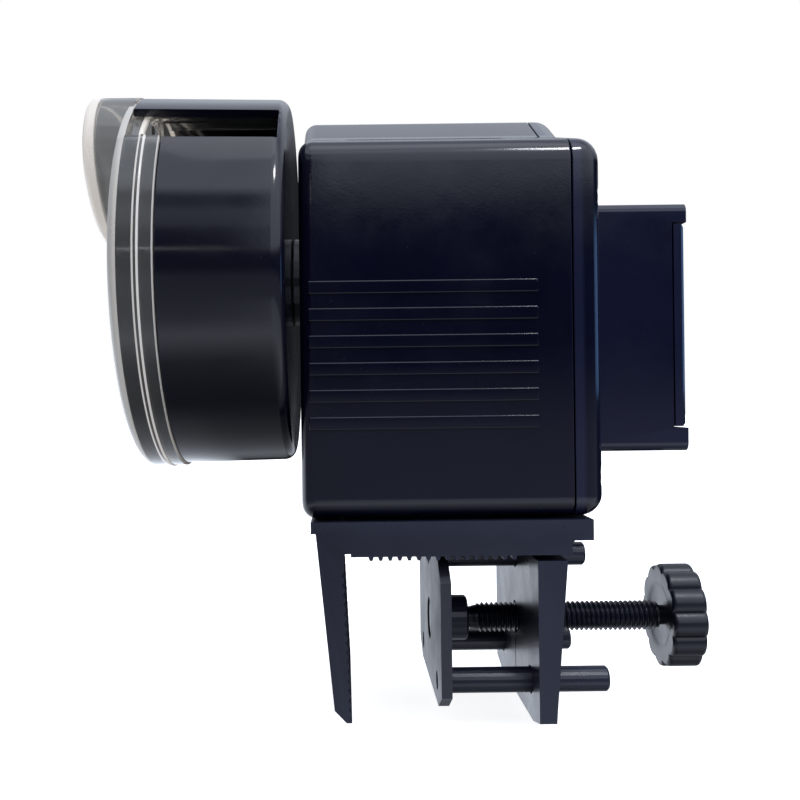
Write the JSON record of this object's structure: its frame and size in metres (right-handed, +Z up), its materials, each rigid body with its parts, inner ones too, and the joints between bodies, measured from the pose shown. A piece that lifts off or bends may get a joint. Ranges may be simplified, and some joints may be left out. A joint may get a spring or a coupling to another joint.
{
  "type": "automatic pet feeder",
  "caption": "Drum feeder for an aquarium: a slotted food drum with a clear lid turns on a geared housing held on a tank rim by a screw clamp.",
  "frame": {"origin": "on the flat underside of the clamp beam, midway across it, where the tank rim seats", "axes": "+Z up, +X along the drum's axis from the drum towards the clamp knob, +Y away from the ribbed side"},
  "size_m": [0.1202, 0.0754, 0.1236],
  "materials": {
    "shell_black": "glossy black, blue tint",
    "satin_black": "satin black moulding",
    "clear_plastic": "clear polystyrene",
    "lens_smoke": "polished window",
    "lcd": "display glass",
    "board_green": "solder mask",
    "keypad_grey": "silicone",
    "white_nylon": "moulded nylon",
    "steel": "turned steel",
    "brass": "turned brass",
    "cell_jacket": "printed cell jacket"
  },
  "bodies": {
    "housing": {"main_shell": "shell_black", "end_cover": "shell_black", "battery_box": "shell_black", "display_lens": "lens_smoke", "lcd_module": "lcd", "control_board": "board_green", "rubber_keypad": "keypad_grey", "gear_motor": "steel", "gear_plate": "satin_black", "idler_pin": "steel", "shaft_bush": "brass", "position_switch": "satin_black", "battery_cell_1": "cell_jacket", "battery_cell_2": "cell_jacket", "battery_leaf_1": "steel", "battery_leaf_2": "steel", "battery_link": "steel", "clamp_beam": "satin_black", "plate_screw_1": "steel", "plate_screw_2": "steel", "plate_screw_3": "steel", "plate_screw_4": "steel", "cover_screw_1": "steel", "cover_screw_2": "steel", "cover_screw_3": "steel", "cover_screw_4": "steel", "beam_screw_1": "steel", "beam_screw_2": "steel"},
    "drive": {"drive_shaft": "steel", "output_gear": "white_nylon", "position_cam": "white_nylon", "drum_coupling": "satin_black"},
    "idler": {"idler_gear": "white_nylon"},
    "pinion": {"motor_pinion": "brass"},
    "drum": {"drum_body": "shell_black"},
    "shutter": {"portion_shutter": "clear_plastic"},
    "lid": {"drum_lid": "clear_plastic"},
    "door": {"battery_door": "shell_black"},
    "rear_jaw": {"rear_jaw": "satin_black"},
    "plate": {"pressure_plate": "satin_black", "guide_rod_top": "satin_black", "guide_rod_near": "satin_black", "guide_rod_far": "satin_black", "swivel_collar": "satin_black"},
    "screw": {"clamp_screw": "satin_black", "clamp_knob": "satin_black"},
    "set_button": {"set_button": "satin_black"},
    "hour_button": {"hour_button": "satin_black"},
    "minute_button": {"minute_button": "satin_black"},
    "feed_button": {"feed_button": "satin_black"}
  },
  "joints": [
    {"name": "drum_spin", "type": "hinge", "parent": "housing", "child": "drive", "pos_m": [0, 0, 0.0532], "axis": [1, 0, 0], "continuous": true},
    {"name": "idler_spin", "type": "hinge", "parent": "housing", "child": "idler", "pos_m": [0, 0, 0.0339], "axis": [1, 0, 0], "continuous": true},
    {"name": "pinion_spin", "type": "hinge", "parent": "housing", "child": "pinion", "pos_m": [0, 0.00845, 0.01926], "axis": [1, 0, 0], "continuous": true},
    {"name": "drum_pull", "type": "slide", "parent": "drive", "child": "drum", "axis": [-1, 0, 0], "range_m": [0, 0.02]},
    {"name": "portion_turn", "type": "hinge", "parent": "drum", "child": "shutter", "pos_m": [0, 0, 0.0532], "axis": [1, 0, 0], "range_deg": [0, 21.5]},
    {"name": "lid_pull", "type": "slide", "parent": "drum", "child": "lid", "axis": [-1, 0, 0], "range_m": [0, 0.03]},
    {"name": "door_pull", "type": "slide", "parent": "housing", "child": "door", "axis": [1, 0, 0], "range_m": [0, 0.02]},
    {"name": "jaw_slide", "type": "slide", "parent": "housing", "child": "rear_jaw", "axis": [-1, 0, 0], "range_m": [-0.003, 0.006]},
    {"name": "plate_slide", "type": "slide", "parent": "rear_jaw", "child": "plate", "axis": [-1, 0, 0], "range_m": [-0.0095, 0.0095]},
    {"name": "screw_turn", "type": "hinge", "parent": "plate", "child": "screw", "pos_m": [0, 0, -0.0167], "axis": [-1, 0, 0], "range_deg": [-3420, 3420]},
    {"name": "set_press", "type": "slide", "parent": "housing", "child": "set_button", "axis": [0, 0.2725, -0.9622], "range_m": [0, 0.0008], "stiffness_N_per_m": 400},
    {"name": "hour_press", "type": "slide", "parent": "housing", "child": "hour_button", "axis": [0, 0.2725, -0.9622], "range_m": [0, 0.0008], "stiffness_N_per_m": 400},
    {"name": "minute_press", "type": "slide", "parent": "housing", "child": "minute_button", "axis": [0, 0.2725, -0.9622], "range_m": [0, 0.0008], "stiffness_N_per_m": 400},
    {"name": "feed_press", "type": "slide", "parent": "housing", "child": "feed_button", "axis": [0, 0.2725, -0.9622], "range_m": [0, 0.0008], "stiffness_N_per_m": 400}
  ],
  "couplings": [
    {"joint": "idler_spin", "follows": "drum_spin", "ratio": -3},
    {"joint": "pinion_spin", "follows": "drum_spin", "ratio": 7.5},
    {"joint": "plate_slide", "follows": "screw_turn", "m_per_rad": 0.00015915}
  ]
}
